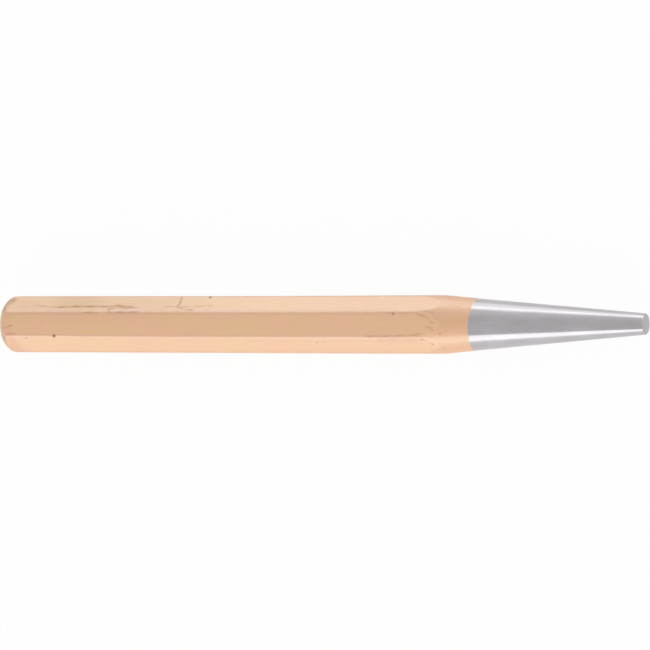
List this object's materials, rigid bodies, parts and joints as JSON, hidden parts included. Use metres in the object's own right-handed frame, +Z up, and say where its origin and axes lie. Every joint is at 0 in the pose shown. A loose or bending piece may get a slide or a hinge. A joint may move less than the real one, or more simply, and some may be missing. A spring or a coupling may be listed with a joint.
{
  "type": "tapered pin punch",
  "caption": "Octagonal hand punch with a rounded head, a copper-coloured lacquered shank and a bare ground taper that ends in a small flat tip.",
  "frame": {"origin": "bottom centre of the box: on the surface the punch lies on, under the middle of its length", "axes": "+X along the punch towards its tip, +Y to the side, +Z up out of the flat opposite the one it lies on"},
  "size_m": [0.12, 0.0102, 0.0102],
  "materials": {
    "ground_steel": "satin",
    "copper_lacquer": "satin"
  },
  "bodies": {
    "root": {"forged_blank": "ground_steel", "lacquer_coat": "copper_lacquer"}
  },
  "joints": []
}
